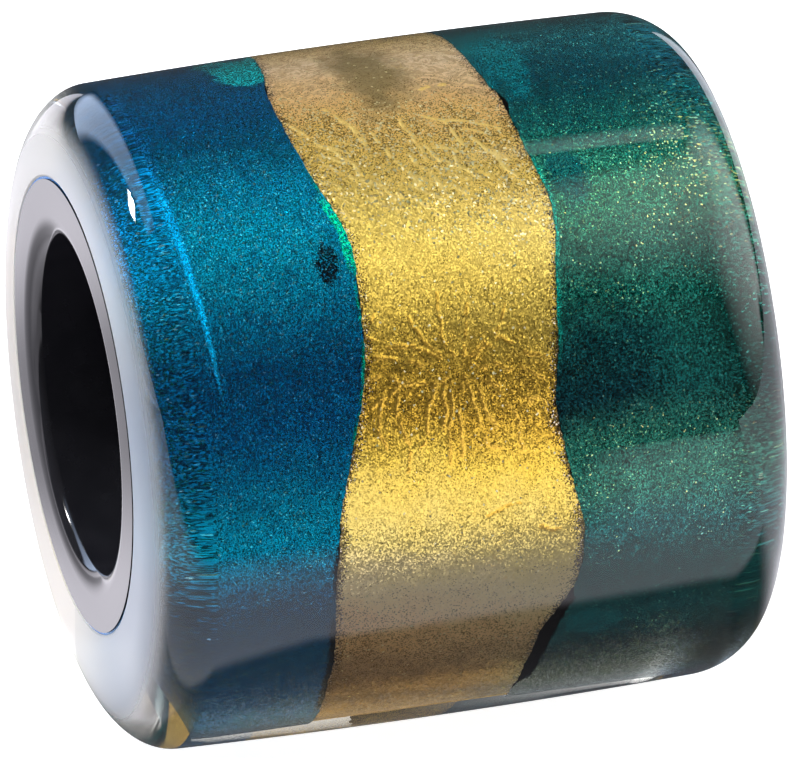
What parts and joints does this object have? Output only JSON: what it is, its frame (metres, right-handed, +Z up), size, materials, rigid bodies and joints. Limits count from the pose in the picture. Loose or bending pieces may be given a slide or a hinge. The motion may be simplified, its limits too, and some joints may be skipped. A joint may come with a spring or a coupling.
{
  "type": "dreadlock bead",
  "caption": "Barrel-shaped hair bead: a black tube with blue, gold-leaf and green bands under a thick clear sleeve with rounded corners, and a wide round hole.",
  "frame": {"origin": "on the plane that the bead lies on, under the middle of its length and of its largest circle", "axes": "+X along the hole towards the green band's end, +Z up as the bead lies on its side, -Y towards the front of the picture"},
  "size_m": [0.0174, 0.018, 0.0179],
  "materials": {
    "tube_black": "polished black",
    "blue_paint": "metallic blue with fine glitter",
    "gold_leaf": "wrinkled metal leaf",
    "green_paint": "metallic dark green with fine glitter",
    "clear_resin": "polished clear"
  },
  "bodies": {
    "root": {"core_tube": "tube_black", "blue_band": "blue_paint", "gold_leaf": "gold_leaf", "green_band": "green_paint", "clear_resin": "clear_resin"}
  },
  "joints": []
}
